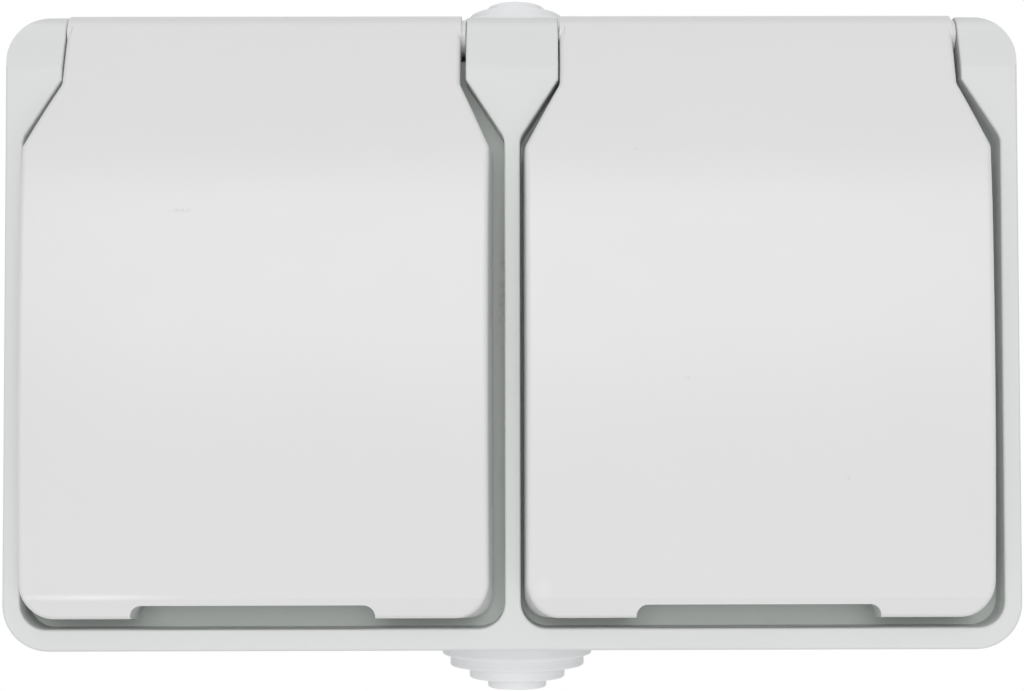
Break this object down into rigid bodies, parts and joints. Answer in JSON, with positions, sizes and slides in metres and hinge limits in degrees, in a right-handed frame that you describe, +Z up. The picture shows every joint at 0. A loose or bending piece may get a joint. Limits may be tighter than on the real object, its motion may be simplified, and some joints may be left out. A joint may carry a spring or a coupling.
{
  "type": "outdoor weatherproof socket",
  "caption": "Surface-mounted outdoor wall socket in pale grey plastic, with side-by-side spring-hinged lids over round recessed outlets and stepped rubber cable glands.",
  "frame": {"origin": "middle of the box's back face, on the wall plane", "axes": "+X to the right seen from the front, +Y into the wall, +Z up"},
  "size_m": [0.132, 0.0584, 0.1008],
  "materials": {
    "lid_plastic": "satin neutral white",
    "cover_plastic": "satin pale grey with a green cast",
    "box_plastic": "fine spark texture, pale grey",
    "insert_plastic": "satin pale grey",
    "carrier_plastic": "matte",
    "gland_rubber": "soft matte, pale blue-grey",
    "seal_rubber": "matte",
    "zinc_steel": "zinc plated",
    "spring_steel": "drawn wire",
    "contact_brass": "stamped"
  },
  "bodies": {
    "housing": {"rear_box": "box_plastic", "box_seal": "seal_rubber", "front_cover": "cover_plastic", "cover_screws": "zinc_steel", "gland_top": "gland_rubber", "gland_bottom": "gland_rubber", "insert_screws": "zinc_steel", "carrier_screws": "zinc_steel", "line_bus_bar": "contact_brass", "neutral_bus_bar": "contact_brass", "earth_plate": "contact_brass", "terminal_clamps": "zinc_steel", "terminal_screws": "zinc_steel", "hinge_pin_left": "zinc_steel", "hinge_pin_right": "zinc_steel", "lid_spring_left": "spring_steel", "lid_spring_right": "spring_steel", "socket_insert_left": "insert_plastic", "socket_insert_right": "insert_plastic", "contact_carrier_left": "carrier_plastic", "contact_carrier_right": "carrier_plastic"},
    "left_lid_body": {"lid_left": "lid_plastic", "lid_seal_left": "seal_rubber"},
    "right_lid_body": {"lid_right": "lid_plastic", "lid_seal_right": "seal_rubber"}
  },
  "joints": [
    {"name": "lid_left_hinge", "type": "hinge", "parent": "housing", "child": "left_lid_body", "pos_m": [-0.03262, -0.04943, 0.03905], "axis": [-1, 0, 0], "range_deg": [0, 110], "stiffness_Nm_per_rad": 0.02, "springref_deg": -28.65, "deforming": ["lid_spring_left"]},
    {"name": "lid_right_hinge", "type": "hinge", "parent": "housing", "child": "right_lid_body", "pos_m": [0.03208, -0.04943, 0.03905], "axis": [-1, 0, 0], "range_deg": [0, 110], "stiffness_Nm_per_rad": 0.02, "springref_deg": -28.65, "deforming": ["lid_spring_right"]}
  ]
}
